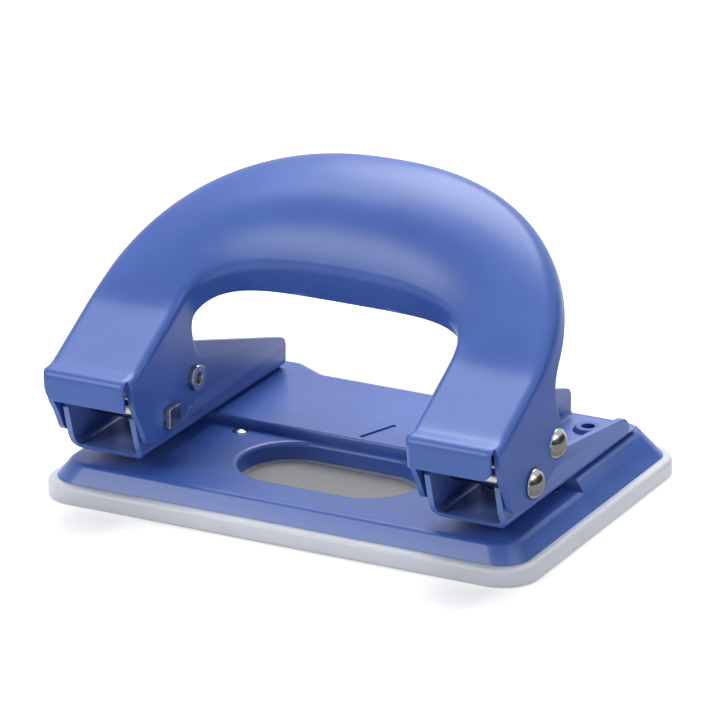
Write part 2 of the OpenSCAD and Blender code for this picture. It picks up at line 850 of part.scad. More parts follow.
// Die plates under the table, with a rivet at each rear corner
function die_rivet_xs() = [die_in + die_rivet_inset, die_out - die_rivet_inset];
function die_rivet_y() = stop_y - die_rivet_head_d / 2 - clear;

module die_plate(side) {
    color(tool_steel) on_side(side) difference() {
        translate([die_in, die_front, die_z]) cube([die_out - die_in, die_back - die_front, die_t]);
        translate([head_x, punch_y, die_z - cut_over])
            cylinder(d = hole_d + 2 * running_fit, h = die_t + 2 * cut_over);
        for (x = die_rivet_xs())
            translate([x, die_rivet_y(), die_z - cut_over])
                cylinder(d = die_rivet_d + 2 * fixed_fit, h = die_t + 2 * cut_over);
    }
}

module die_rivets(side) {
    color(nickel) on_side(side) for (x = die_rivet_xs()) translate([x, die_rivet_y(), 0]) {
        translate([0, 0, die_z - weld]) cylinder(d = die_rivet_d, h = table_z - die_z + 2 * weld);
        translate([0, 0, table_z]) dome(die_rivet_head_d, die_rivet_head_h);
        translate([0, 0, die_z - die_rivet_tail_h])
            cylinder(d = die_tail * die_rivet_d, h = die_rivet_tail_h);
    }
}

module bracket_rivets(side) {
    low = platform_z - base_sheet;
    color(steel_blue) on_side(side) for (y = eyelet_ys) translate([head_x, y, 0]) difference() {
        union() {
            translate([0, 0, low - weld]) cylinder(d = eyelet_d, h = floor_z - low + 2 * weld);
            translate([0, 0, floor_z])
                cylinder(d1 = eyelet_head_d, d2 = eyelet_head_d - eyelet_taper, h = eyelet_head_h);
            translate([0, 0, low - eyelet_tail_h]) cylinder(d = eyelet_tail * eyelet_d, h = eyelet_tail_h);
        }
        translate([0, 0, low - eyelet_tail_h - cut_over]) cylinder(d = eyelet_bore, h = platform_z);
    }
}

base_plate();
chip_tray();
handle();
bracket(-1);  // bracket_left
bracket(1);  // bracket_right
pivot_pin(-1);  // pivot_pin_left
pivot_pin(1);  // pivot_pin_right
drive_pin(-1);  // drive_pin_left
drive_pin(1);  // drive_pin_right
punch(-1);  // punch_left
punch(1);  // punch_right
return_spring(-1);  // return_spring_left
return_spring(1);  // return_spring_right
spring_washer(-1);  // spring_washer_left
spring_washer(1);  // spring_washer_right
punch_clip(-1);  // punch_clip_left
punch_clip(1);  // punch_clip_right
die_plate(-1);  // die_plate_left
die_plate(1);  // die_plate_right
bracket_rivets(-1);  // bracket_rivets_left
bracket_rivets(1);  // bracket_rivets_right
die_rivets(-1);  // die_rivets_left
die_rivets(1);  // die_rivets_right
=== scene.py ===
# %% [markdown]
# # A blue two-hole paper punch
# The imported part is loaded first, as a fixed frame: every piece made here sits where the frame
# says. Lengths below are written in millimetres and turned into metres by one factor, because the
# real thing was drawn in millimetres.

# %% Load the frame
import math

import bpy
from mathutils import Matrix, Vector


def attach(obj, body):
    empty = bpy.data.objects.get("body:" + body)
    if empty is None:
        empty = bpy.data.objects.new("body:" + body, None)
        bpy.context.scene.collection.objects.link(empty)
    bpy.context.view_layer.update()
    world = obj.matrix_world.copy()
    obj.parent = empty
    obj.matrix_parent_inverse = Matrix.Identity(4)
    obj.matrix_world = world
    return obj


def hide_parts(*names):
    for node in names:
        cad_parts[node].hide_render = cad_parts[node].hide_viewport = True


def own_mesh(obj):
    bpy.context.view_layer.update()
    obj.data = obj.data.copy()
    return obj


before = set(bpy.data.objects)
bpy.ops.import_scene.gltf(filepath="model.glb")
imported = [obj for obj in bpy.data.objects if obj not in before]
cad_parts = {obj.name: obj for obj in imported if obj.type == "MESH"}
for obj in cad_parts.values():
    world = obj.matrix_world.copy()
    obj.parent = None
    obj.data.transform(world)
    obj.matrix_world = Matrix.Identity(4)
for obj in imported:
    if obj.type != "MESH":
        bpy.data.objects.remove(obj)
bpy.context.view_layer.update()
MM = 0.001

# %% [markdown]
# ## Sizes that the new pieces share
# The pressed base, the handle and the tray are shaped again below with softer bends than the frame
# has, so they repeat its main sizes. Those that more than one piece uses are given here, with the
# names a toolmaker would use. They could be measured from the frame, but named sizes are easier to
# read.

# %% Shared sizes
HEAD_X = 40.0
BASE_W, BASE_D, BASE_CORNER, SHEET = 104.0, 72.0, 6.0, 1.0
BASE_Z, TABLE_Z, PLATFORM_Z = 3.9, 7.5, 9.8
STOP_Y, EDGE_TO_HOLE = -1.4, 12.0
PUNCH_Y = STOP_Y - EDGE_TO_HOLE
WINDOW_W, WINDOW_D, WINDOW_Y = 38.6, 21.8, -13.5
print("holes", 2 * HEAD_X, "mm apart, platform at", PLATFORM_Z, "mm")

# %% [markdown]
# ## Small helpers
# Operators act on whatever is selected, so one helper clears the selection and makes one object
# active, and another applies a modifier. Edges and faces are picked by a test on their place or
# direction, which is safer than picking them by number.


# %% Helpers for objects and selections
def only(obj):
    bpy.ops.object.select_all(action="DESELECT")
    obj.hide_set(False)
    obj.select_set(True)
    bpy.context.view_layer.objects.active = obj


def apply(obj, kind, **settings):
    only(obj)
    modifier = obj.modifiers.new(kind.lower(), kind)
    for name, value in settings.items():
        setattr(modifier, name, value)
    bpy.ops.object.modifier_apply(modifier=modifier.name)


def edit(obj, domain):
    """Nothing picked, and edit mode set to edges or faces."""
    only(obj)
    bpy.ops.object.mode_set(mode="EDIT")
    bpy.ops.mesh.select_mode(type=domain)
    bpy.ops.mesh.select_all(action="DESELECT")
    bpy.ops.object.mode_set(mode="OBJECT")


def pick(parts, test):
    """Picks the edges or faces that pass a test, and goes into edit mode."""
    for part in parts:
        part.select = test(part)
    bpy.ops.object.mode_set(mode="EDIT")


def done():
    bpy.ops.object.mode_set(mode="OBJECT")


print("object helpers ready")


# %% Helpers for meshes
def at(mesh, edge):
    """Middle of an edge, in millimetres."""
    a, b = (mesh.vertices[i].co for i in edge.vertices)
    return (a + b) / 2 / MM


def along(mesh, edge):
    """Direction of an edge."""
    a, b = (mesh.vertices[i].co for i in edge.vertices)
    return (b - a).normalized()


def cut(obj, tool, operation="DIFFERENCE"):
    """A solid taken from or joined to another, after which the tool is gone."""
    apply(obj, "BOOLEAN", operation=operation, object=tool, solver="EXACT")
    bpy.data.objects.remove(tool)


def box_of(obj):
    """Lowest and highest corner of a mesh, in millimetres."""
    places = [v.co / MM for v in obj.data.vertices]
    return [[round(end(p[i] for p in places), 2) for i in range(3)] for end in (min, max)]


def smooth(obj, degrees=35):
    """Smooth shading, in which a large flat face stays flat up to its bevel."""
    only(obj)
    bpy.ops.object.shade_smooth_by_angle(angle=math.radians(degrees))
    apply(obj, "WEIGHTED_NORMAL", keep_sharp=True)


print("mesh helpers ready")

# %% [markdown]
# ## Base plate, first as a drafted block
# The base is one sheet, drawn in a press: a low paper table in front and a higher platform behind,
# with a skirt that leans in all round. It could be bent up from a grid, but the table and the
# platform are two heights of the same skirt. So a cube is scaled, its upright edges are bevelled
# round, and its top face is pulled in, which gives the lean. A bevel gives the bend where the
# sheet turns over.

# %% Blocks with round corners
DRAFT = 0.65
CORNER_STEPS, BEND_STEPS = 12, 5
UPRIGHT = 0.9  # an edge or a face's normal with more than this share of Z points up


def box_tool(name, lo, hi):
    bpy.ops.object.select_all(action="DESELECT")
    bpy.ops.mesh.primitive_cube_add(size=1)
    tool = bpy.context.object
    tool.name = name
    tool.scale = [(b - a) * MM for a, b in zip(lo, hi)]
    tool.location = [(a + b) / 2 * MM for a, b in zip(lo, hi)]
    bpy.ops.object.transform_apply(location=True, rotation=True, scale=True)
    return tool


def rounded_block(name, inset, low, high, steps):
    """A block with the base's outline, moved in by the inset."""
    w, d, r = BASE_W - 2 * inset, BASE_D - 2 * inset, BASE_CORNER - inset
    block = box_tool(name, (-w / 2, -d / 2, low), (w / 2, d / 2, high))
    mesh = block.data
    edit(block, "EDGE")
    pick(mesh.edges, lambda e: abs(along(mesh, e).z) > UPRIGHT)
    bpy.ops.mesh.bevel(offset=r * MM, segments=steps, affect="EDGES")
    done()
    return block


def drafted_block(name, inset, low, high):
    """The same with its top pulled in by the draft, the same distance on every side."""
    block = rounded_block(name, inset, low, high, CORNER_STEPS)
    w, d, lean = BASE_W - 2 * inset, BASE_D - 2 * inset, (high - low) * DRAFT
    edit(block, "FACE")
    pick(block.data.polygons, lambda f: f.normal.z > UPRIGHT)
    bpy.ops.transform.resize(value=((w - 2 * lean) / w, (d - 2 * lean) / d, 1))
    done()
    return block


def soften_rim(block, height, bend):
    """A round bend along all the level edges at one height."""
    mesh = block.data

    def on_rim(e):
        return abs(at(mesh, e).z - height) < 0.02 and abs(along(mesh, e).z) < 0.1

    edit(block, "EDGE")
    pick(mesh.edges, on_rim)
    bpy.ops.mesh.bevel(offset=bend * MM, segments=BEND_STEPS, affect="EDGES", clamp_overlap=True)
    done()


print("the skirt leans in", DRAFT, "mm for each mm of height")

# %% [markdown]
# ## Base plate, put together
# The platform is the high block cut off at the paper stop. Its rear edge falls away between the
# brackets, so a wedge comes off there before the edge is softened. A boolean joins the two
# heights, because they meet in a step that no bevel or extrusion gives in one go.

# %% Platform and table
SLOPE_W, SLOPE_D, SPLAY = 47.0, 8.2, 3.0
WEDGE_REACH, WEDGE_H = 40, 20
TOP_BEND, HAIR, FOOT_OFF = 0.9, 0.03, 0.4
FAR, HIGH = 60, 20


def rear_wedge(sink):
    """Space behind the rear slope, its ends splayed so that the slope runs out softly."""
    lean = math.atan2(PLATFORM_Z - BASE_Z, SLOPE_D)
    side = SLOPE_W / 2 + sink
    wedge = box_tool("rear_wedge", (-side, -WEDGE_REACH, -sink), (side, WEDGE_REACH, WEDGE_H))
    for v in wedge.data.vertices:
        if v.co.z > WEDGE_H / 2 * MM:
            v.co.x += math.copysign(WEDGE_H * SPLAY * MM, v.co.x)
    rear_foot = Matrix.Translation((0, BASE_D / 2 * MM, BASE_Z * MM))
    wedge.data.transform(rear_foot @ Matrix.Rotation(-lean, 4, "X"))
    return wedge


base = drafted_block("base_table", 0, BASE_Z, TABLE_Z)
soften_rim(base, TABLE_Z, TOP_BEND)
# A hair smaller than the table block, so that no two faces lie in one plane
platform = drafted_block("platform", HAIR, BASE_Z, PLATFORM_Z)
cut(platform, box_tool("front_off", (-FAR, -FAR, 0), (FAR, STOP_Y, HIGH)))
cut(platform, box_tool("below_off", (-FAR, -FAR, 0), (FAR, FAR, BASE_Z + FOOT_OFF)))
cut(platform, rear_wedge(0))
soften_rim(platform, PLATFORM_Z, TOP_BEND)
cut(base, platform, "UNION")
print("table and platform:", len(base.data.polygons), "faces")

# %% [markdown]
# The pressing is a sheet and not a block, so a second pair of drafted blocks, smaller by the
# sheet's thickness, is taken out from below. Solidify would do this for an open sheet, but the
# outside here is a closed block.

# %% Hollow below
HOLLOW_Z = BASE_Z - 0.5
hollow = drafted_block("hollow", SHEET, HOLLOW_Z, TABLE_Z - SHEET)
high_hollow = drafted_block("high_hollow", SHEET, HOLLOW_Z, PLATFORM_Z - SHEET)
cut(high_hollow, box_tool("hollow_front", (-FAR, -FAR, 0), (FAR, STOP_Y + SHEET, HIGH)))
cut(high_hollow, rear_wedge(SHEET))
cut(hollow, high_hollow, "UNION")
cut(base, hollow)
print("hollowed to a sheet of", SHEET, "mm")

# %% [markdown]
# The window is an oval with straight sides. A press draws its rim down in a round and leaves no
# sharp edge. A bevel after the cut would have to find that edge among many others, so the cutting
# tool itself is flared: a circle is pulled apart, extruded from level to level and scaled at each
# one.

# %% Window
RIM, RIM_STEPS, STADIUM_POINTS = 1.1, 6, 64
COLLAR_FROM, COLLAR_TO = BASE_Z + 0.1, TABLE_Z - 0.6


def stadium_tool(name, levels):
    """A solid with the window's outline, and at each level a height and how far it is grown."""
    bpy.ops.object.select_all(action="DESELECT")
    bpy.ops.mesh.primitive_circle_add(
        vertices=STADIUM_POINTS, radius=WINDOW_D / 2 * MM, fill_type="NGON"
    )
    tool = bpy.context.object
    tool.name = name
    straight = (WINDOW_W - WINDOW_D) / 2 * MM
    for v in tool.data.vertices:
        v.co.x += math.copysign(straight, v.co.x) if abs(v.co.x) > 1e-7 else 0

    def grown(growth):
        return (WINDOW_W + 2 * growth) / WINDOW_W, (WINDOW_D + 2 * growth) / WINDOW_D

    edit(tool, "FACE")
    pick(tool.data.polygons, lambda f: True)
    height, growth = levels[0]
    bpy.ops.transform.resize(value=(*grown(growth), 1))
    bpy.ops.transform.translate(value=(0, WINDOW_Y * MM, height * MM))
    for (z0, g0), (z1, g1) in zip(levels, levels[1:]):
        (w0, d0), (w1, d1) = grown(g0), grown(g1)
        bpy.ops.mesh.extrude_region_move(TRANSFORM_OT_translate={"value": (0, 0, (z1 - z0) * MM)})
        bpy.ops.transform.resize(value=(w1 / w0, d1 / d0, 1))
    bpy.ops.mesh.select_all(action="SELECT")
    bpy.ops.mesh.normals_make_consistent(inside=False)
    done()
    return tool


turns = [math.radians(90 / RIM_STEPS * i) for i in range(RIM_STEPS + 1)]
flare = [(TABLE_Z - RIM + RIM * math.sin(a), RIM * (1 - math.cos(a))) for a in turns]
cut(base, stadium_tool("collar", [(COLLAR_FROM, SHEET), (COLLAR_TO, SHEET)]), "UNION")
cut(base, stadium_tool("window", [(BASE_Z - 1, 0.0), *flare, (TABLE_Z + 3, RIM)]))
print("window", WINDOW_W, "by", WINDOW_D, "mm, its rim rounded by", RIM, "mm")

# %% [markdown]
# The punches pass through two holes in the table, and a slanted groove in the platform marks the
# middle of the sheet of paper. Both are cut, so that they show on the mesh itself and not only as
# bump.

# %% Punch holes and centre mark
PUNCH_HOLE_R, ROD_POINTS = 3.3, 32
MARK_W, MARK_L, MARK_DEEP, MARK_FROM_STOP, MARK_TURN = 1.1, 9.5, 0.35, 1.1, math.radians(-20)


def rod_tool(name, x, y, low, high, radius):
    bpy.ops.object.select_all(action="DESELECT")
    bpy.ops.mesh.primitive_cylinder_add(
        vertices=ROD_POINTS,
        radius=radius * MM,
        depth=(high - low) * MM,
        location=(x * MM, y * MM, (low + high) / 2 * MM),
    )
    bpy.context.object.name = name
    bpy.ops.object.transform_apply(location=True, rotation=True, scale=True)
    return bpy.context.object


for side in (-1, 1):
    cut(base, rod_tool("punch_hole", side * HEAD_X, PUNCH_Y, BASE_Z, TABLE_Z + 1, PUNCH_HOLE_R))
mark_low, mark_high = PLATFORM_Z - MARK_DEEP, PLATFORM_Z + 1
mark = box_tool("mark", (-MARK_W / 2, 0, mark_low), (MARK_W / 2, MARK_L, mark_high))
mark_place = Matrix.Translation((0, (STOP_Y + MARK_FROM_STOP) * MM, 0))
mark.data.transform(mark_place @ Matrix.Rotation(MARK_TURN, 4, "Z"))
cut(base, mark)
base.name = "base_pressing"
smooth(base, 32)
print("base pressing:", len(base.data.polygons), "faces")

# %% [markdown]
# ## Handle, from a flat blank
# The handle is one blank of steel sheet, bent over along its edges: two arms and the arch between
# them. It could be cut from solids, but a sheet is what it is, so a flat grid is made and every
# point of it is carried to where the press puts it. Rows of the grid run from the front of the
# right arm, round the arch, to the front of the left arm. Columns run across the sheet, from the
# foot of the inner flange over the top to the foot of the outer flange. Only the right half is
# worked out, and the left half mirrors it.

# %% The blank's counts and the handle's main places
FLANGE, BEND, TOP = 12, 7, 18
LEDGE_ROWS, FLAT_ROWS, ARCH_ROWS = 6, 26, 132
ARM_ROWS = LEDGE_ROWS + FLAT_ROWS
COLUMNS = 2 * FLANGE + 2 * BEND + TOP
PIVOT, DRIVE = Vector((0.0, -24.8127, 17.4)), Vector((0.0, -14.4127, 22.1))
FLAT_END = Vector((0.0, PIVOT.y - 12.5, PIVOT.z + 12.6))
ARM_IN, ARM_OUT, BEND_R = 30.0, 50.0, 1.8
ARM_TILT, ARCH_TILT = math.radians(29), math.radians(40)
ARM_FLAT = 18.2 - 0.3  # a little short of the sharp corner, because the crease is a soft bend
LEDGE, LEDGE_WAY = 4.7, math.radians(187)
LIP_WAY, LIP_BEND = math.radians(278), 2.0
LIP_RUN = LIP_BEND * math.tan((LIP_WAY - LEDGE_WAY) / 2)
print("blank:", COLUMNS, "by", 2 * ARM_ROWS + ARCH_ROWS, "faces")

# %% [markdown]
# The sheet's edges and sections are lists of points: arcs, lines with evenly spread points, and
# lines with rounded corners. Blender's curves could draw them too, but lists can be mixed row by
# row.


# %% Lines of points
def mix(a, b, f):
    return a + (b - a) * f


def heading(a):
    return Vector((math.cos(a), math.sin(a)))


def arc(centre, r, first, last, steps):
    return [centre + r * heading(mix(first, last, i / steps)) for i in range(steps + 1)]


def spread(points, count):
    """The same line with evenly spaced points."""
    lengths = [0.0]
    for a, b in zip(points, points[1:]):
        lengths.append(lengths[-1] + (b - a).length)
    out = []
    for i in range(count + 1):
        d = lengths[-1] * i / count
        k = max(j for j in range(len(points) - 1) if lengths[j] <= d + 1e-12)
        span = lengths[k + 1] - lengths[k]
        share = 0 if span == 0 else min(1, (d - lengths[k]) / span)
        out.append(points[k].lerp(points[k + 1], share))
    return out


def rounded(points, times=2):
    """Every corner cut off a few times over, which rounds a line of points."""
    for _ in range(times):
        line = [points[0]]
        for a, b in zip(points, points[1:]):
            line += [a.lerp(b, 0.25), a.lerp(b, 0.75)]
        points = line + [points[-1]]
    return points


quarter = arc(Vector((0, 0)), 1, 0, math.pi / 2, BEND)
print("a quarter circle in", BEND, "steps has", len(quarter), "points")

# %% [markdown]
# Seen from the side, the flat of an arm rises at one angle and the arch at a steeper one, and they
# meet in a crease. A finished arm and arch could be turned into place, but their rows have to meet
# in that crease, so each point is worked out where it belongs.


# %% Places in the side view
def arm_point(s, n):
    """Point of the side view, s up the arm's flat and n square to it."""
    c, k = math.cos(ARM_TILT), math.sin(ARM_TILT)
    return Vector((FLAT_END.y + s * c - n * k, FLAT_END.z + s * k + n * c))


def arm_spot(i):
    """Place on top of an arm, and the way square to it, at row i from the front of the ledge."""
    if i < LEDGE_ROWS:
        ahead = (LEDGE - LIP_RUN) * (1 - i / LEDGE_ROWS)
        return arm_point(0, 0) + ahead * heading(LEDGE_WAY), heading(LEDGE_WAY - math.pi / 2)
    along_flat = ARM_FLAT * (i - LEDGE_ROWS) / FLAT_ROWS
    return arm_point(along_flat, 0), heading(ARM_TILT + math.pi / 2)


CREASE = arm_point(ARM_FLAT, -0.04)


def arch_point(s, n):
    """Point of the side view, s up the arch from the crease and n square to it."""
    c, k = math.cos(ARCH_TILT), math.sin(ARCH_TILT)
    return CREASE + Vector((s * c - n * k, s * k + n * c))


print("crease at", [round(v, 2) for v in CREASE], "mm")

# %% [markdown]
# The arch is widest at the grip and narrows to the arms, and its outline is a squared-off oval on
# the inside and on the outside. Across the sheet, each row is a flange, a bend, a crowned top, a
# bend and a flange. The bends grow larger towards the grip, where the hand rests on them.

# %% One row of the arch
OPENING_REACH, GRIP_W, CROWN = 14.5, 30.2, math.radians(30)
INNER_OVAL, OUTER_OVAL, WAIST = 2.65, 2.3, 0.06
TOP_INNER_R, TOP_OUTER_R = 3.4, 6.8
ROOT_FLANGE, INNER_FLANGE, FLANGE_LEAN = 6.9, 8.6, math.radians(19)
OUTER_FLANGE, OUTER_TOP = 6.0, 7.4
PLATE_DEPTH, INNER_RUN, OUTER_RUN, RUN_OUT = 9.5, 2.4, 1.9, 1.5
SOON, LATE = 0.66, 2.5  # how early round the arch a size starts to grow


def oval_edge(half_width, reach, p, a):
    """Point at angle a of an oval, which is squarer the larger p is."""
    c, k = math.cos(a), math.sin(a)
    x = half_width * math.copysign(abs(c) ** (2 / p), c)
    return Vector((x, reach * math.copysign(abs(k) ** (2 / p), k)))


def arch_section(w, sine, deep, deep_out):
    """Points across the sheet: how far from the inner edge, and how high."""
    f, lean = sine**SOON, FLANGE_LEAN * sine**LATE
    ri, ro = mix(BEND_R, TOP_INNER_R, f), mix(BEND_R, TOP_OUTER_R, f)
    inner, outer = Vector((ri, -ri)), Vector((w - ro, -ro))
    start = inner + ri * heading(math.pi - lean)
    foot = start - (start.y + deep) * Vector((math.tan(lean), 1))
    # The bends run out into the crown at the same slant, so the section has no valley
    slant = CROWN * f
    inner_bend = arc(inner, ri, math.pi - lean, math.pi / 2 + slant, BEND)
    outer_bend = arc(outer, ro, math.pi / 2 - slant, 0, BEND)
    rise = (outer_bend[0].x - inner_bend[-1].x) * math.tan(slant) / 4
    line = [foot.lerp(start, i / FLANGE) for i in range(FLANGE)] + inner_bend
    for u in [i / TOP for i in range(1, TOP)]:
        line.append(inner_bend[-1].lerp(outer_bend[0], u) + Vector((0, rise * 4 * u * (1 - u))))
    line += outer_bend
    return line + [Vector((w, mix(-ro, -deep_out, i / FLANGE))) for i in range(1, FLANGE + 1)]


def arch_row(a):
    """Points across the sheet at angle a round the arch, in the part's own frame."""
    sine = max(math.sin(a), 0.0)
    inner_edge = oval_edge(ARM_IN, OPENING_REACH, INNER_OVAL, a)
    outer_edge = oval_edge(ARM_OUT * (1 - WAIST * sine), OPENING_REACH + GRIP_W, OUTER_OVAL, a)
    across = outer_edge - inner_edge
    way = across / across.length
    # The flanges of the arms run a little way into the arch
    inner_run = max(0, 1 - inner_edge.y / INNER_RUN) ** RUN_OUT
    outer_run = max(0, 1 - outer_edge.y / OUTER_RUN) ** RUN_OUT
    deep = mix(ROOT_FLANGE, INNER_FLANGE, sine**LATE) + (PLATE_DEPTH - ROOT_FLANGE) * inner_run
    deep_out = mix(OUTER_FLANGE, OUTER_TOP, sine**SOON) + (PLATE_DEPTH - OUTER_FLANGE) * outer_run
    row = []
    for p in arch_section(across.length, sine, deep, deep_out):
        spot = inner_edge + p.x * way
        row.append(Vector((spot.x, *arch_point(spot.y, p.y))))
    return row


print("a row of the arch has", len(arch_row(1.0)), "points")

# %% [markdown]
# The arms' flanges are flat plates that reach down past the pins. Each is a patch between four
# lines: the bend above, the plate's lower edge round the pins, its front edge and the crease. The
# plate could be drawn as one outline and filled, but a Coons patch fills such a frame with even
# rows, which go on from the rows of the bend without a seam.

# %% Outline of a flange
TOE, TOE_R, PIVOT_ROUND = (-7.2, -1.2), 2.4, 4.4
HEEL = ((1.2, -3.9), (2.6, -3.2), (4.0, -0.4))
BROW = ((-2.1, -4.6), (-0.9, -8.2), (1.2, -11.0))
toe = Vector((PIVOT.y + TOE[0], PIVOT.z + TOE[1]))
lower_edge = arc(toe, TOE_R, math.radians(208), math.radians(270), 5)
lower_edge += arc(PIVOT.yz, PIVOT_ROUND, math.radians(270), math.radians(296), 4)
lower_edge += rounded([*(DRIVE.yz + Vector(p) for p in HEEL), arch_point(0, -PLATE_DEPTH)])
front_top, front_up = arm_spot(0)
brow = [FLAT_END.yz + Vector(p) for p in BROW]
front_edge = rounded([front_top - BEND_R * front_up, *brow, lower_edge[0]])
print("flange outline:", len(lower_edge), "points below,", len(front_edge), "in front")


# %% One arm
CREASE_CROWN = 0.35


def flange_patch():
    """Rows of plate points, each from the bend down to the lower edge."""
    spots = [arm_spot(i) for i in range(ARM_ROWS)]
    top = [spot - BEND_R * up for spot, up in spots] + [arch_point(0, -BEND_R)]
    bottom = spread(lower_edge, ARM_ROWS)
    front = spread(front_edge, FLANGE)
    back = [arch_point(0, mix(-BEND_R, -PLATE_DEPTH, j / FLANGE)) for j in range(FLANGE + 1)]
    rows = []
    for i in range(ARM_ROWS + 1):
        s, row = i / ARM_ROWS, []
        for j in range(FLANGE + 1):
            v = j / FLANGE
            corners = (
                (1 - s) * (1 - v) * top[0]
                + s * (1 - v) * top[-1]
                + (1 - s) * v * bottom[0]
                + s * v * bottom[-1]
            )
            edges = (1 - v) * top[i] + v * bottom[i] + (1 - s) * front[j] + s * back[j]
            row.append(edges - corners)
        rows.append(row)
    return rows


def arm_rows():
    """Rows from the front of the right arm to the crease."""
    plates = flange_patch()
    inner, outer = Vector((ARM_IN + BEND_R, -BEND_R)), Vector((ARM_OUT - BEND_R, -BEND_R))
    rows = []
    for i in range(ARM_ROWS):
        spot, up = arm_spot(i)
        # The arch's crown dies out over the first millimetres of the flat
        sunk = (CREASE - spot).length * math.tan(ARCH_TILT - ARM_TILT)
        section = arc(inner, BEND_R, math.pi, math.pi / 2, BEND)
        for u in [k / TOP for k in range(1, TOP)]:
            lift = max(0.0, CREASE_CROWN * 4 * u * (1 - u) - sunk)
            section.append(Vector((mix(ARM_IN + BEND_R, ARM_OUT - BEND_R, u), lift)))
        section += arc(outer, BEND_R, math.pi / 2, 0, BEND)
        row = [Vector((ARM_IN, *plates[i][FLANGE - j])) for j in range(FLANGE)]
        row += [Vector((p.x, *(spot + p.y * up))) for p in section]
        row += [Vector((ARM_OUT, *plates[i][j])) for j in range(1, FLANGE + 1)]
        rows.append(row)
    return rows


half = arm_rows() + [arch_row(math.pi * i / ARCH_ROWS) for i in range(ARCH_ROWS // 2 + 1)]
# The bends at the ledge and at the crease are soft, so rows near them are averaged along the arm
for middle, reach, times in ((LEDGE_ROWS, 3, 4), (ARM_ROWS, 5, 6)):
    for _ in range(times):
        for i in range(middle - reach, middle + reach + 1):
            near = zip(half[i - 1], half[i], half[i + 1])
            half[i] = [q * 0.5 + (p + r) * 0.25 for p, q, r in near]
mirrored = [[Vector((-p.x, p.y, p.z)) for p in row] for row in reversed(half[:-1])]
sheet_rows = half + mirrored
print("sheet rows:", len(sheet_rows), "of", len(sheet_rows[0]), "points")

# %% [markdown]
# At the front of each arm the sheet turns down once more, into a lip that hangs over the front of
# the channel. Extruding the blank's front edge would give it too, but it has a rounded corner, so
# it is a small grid of its own, whose first row is the arm's first row. The three grids are joined,
# and the doubled points are merged.

# %% Blank and lips
LIP_DROP, LIP_CORNER, LIP_STEPS = 6.5, 2.5, 8
# The lip takes in the two outermost steps of each bend, so it is nearly as wide as the arm
LIP_FROM, LIP_TO = FLANGE + BEND - 2, COLUMNS - FLANGE - BEND + 2


def blank(name, rows):
    """A flat grid carried to the places of the rows."""
    bpy.ops.object.select_all(action="DESELECT")
    bpy.ops.mesh.primitive_grid_add(
        x_subdivisions=len(rows[0]) - 1, y_subdivisions=len(rows) - 1, size=1
    )
    sheet = bpy.context.object
    sheet.name = name
    places = [p * MM for row in rows for p in row]
    sheet.data.vertices.foreach_set("co", [c for p in places for c in p])
    sheet.data.update()
    return sheet


def lip_rows(side):
    """The lip, turned down from the front of the ledge, with its outer lower corner cut round."""
    front, up = arm_spot(0)
    section = [(p.x, (p.yz - front).dot(up)) for p in half[0][LIP_FROM : LIP_TO + 1]]
    centre = front - LIP_BEND * up
    rows = []
    for i in range(LIP_STEPS + 1):
        way = heading(mix(LEDGE_WAY, LIP_WAY, i / LIP_STEPS) - math.pi / 2)
        spot = centre + LIP_BEND * way
        rows.append([Vector((side * x, *(spot + depth * way))) for x, depth in section])
    full = LIP_DROP - LIP_RUN
    round_from = section[-1][0] - LIP_CORNER
    for j in range(1, LIP_STEPS + 1):
        row = []
        for x, depth in section:
            past = max(0.0, x - round_from)
            length = full - LIP_CORNER + math.sqrt(max(0.0, LIP_CORNER**2 - past**2))
            down = length * j / LIP_STEPS * heading(LIP_WAY)
            row.append(Vector((side * x, *(spot + depth * way + down))))
        rows.append(row)
    return rows


handle = blank("handle_pressing", sheet_rows)
lips = [blank("lip", lip_rows(side)) for side in (1, -1)]
only(handle)
for lip in lips:
    lip.select_set(True)
bpy.ops.object.join()
bpy.ops.object.mode_set(mode="EDIT")
bpy.ops.mesh.select_all(action="SELECT")
bpy.ops.mesh.remove_doubles(threshold=0.02 * MM)
bpy.ops.mesh.normals_make_consistent(inside=False)
done()
if max(handle.data.polygons, key=lambda f: f.center.z).normal.z < 0:
    handle.data.flip_normals()
print("handle sheet:", len(handle.data.polygons), "faces")

# %% [markdown]
# The sheet now gets its thickness inwards, so that the outside stays where it is. Solidify is the
# plain way for a sheet. A narrow bevel breaks the cut edges, as tumbling does before the enamel is
# baked on.

# %% Thickness, pin holes and broken edges
HANDLE_SHEET, BROKEN_EDGE = 1.2, 0.25
PIVOT_HOLE_R, DRIVE_HOLE_R, ROD_HALF = 2.05, 2.02, 14
apply(
    handle,
    "SOLIDIFY",
    thickness=HANDLE_SHEET * MM,
    offset=-1,
    use_even_offset=True,
    use_rim=True,
)
for side in (-1, 1):
    for centre, radius in ((PIVOT, PIVOT_HOLE_R), (DRIVE, DRIVE_HOLE_R)):
        rod = rod_tool("pin_hole", 0, 0, -ROD_HALF, ROD_HALF, radius)
        rod_place = Matrix.Translation((side * HEAD_X * MM, centre.y * MM, centre.z * MM))
        rod.data.transform(rod_place @ Matrix.Rotation(math.pi / 2, 4, "Y"))
        cut(handle, rod)
apply(
    handle,
    "BEVEL",
    width=BROKEN_EDGE * MM,
    segments=2,
    limit_method="ANGLE",
    angle_limit=math.radians(50),
)
smooth(handle, 40)
triangles = sum(len(f.vertices) - 2 for f in handle.data.polygons)
print("handle:", triangles, "triangles, box", box_of(handle))

# %% [markdown]
# ## Tray
# The clip-on tray is one moulding of frosted plastic: a rim that shows all round the skirt, a lip
# that snaps inside it, and a raised island that fills the window from below. It could be turned up
# from one sheet, but a moulding has walls of several thicknesses, so blocks with round corners are
# joined and hollowed. The rim's edges are rounder than the steel's, as a mould leaves them.

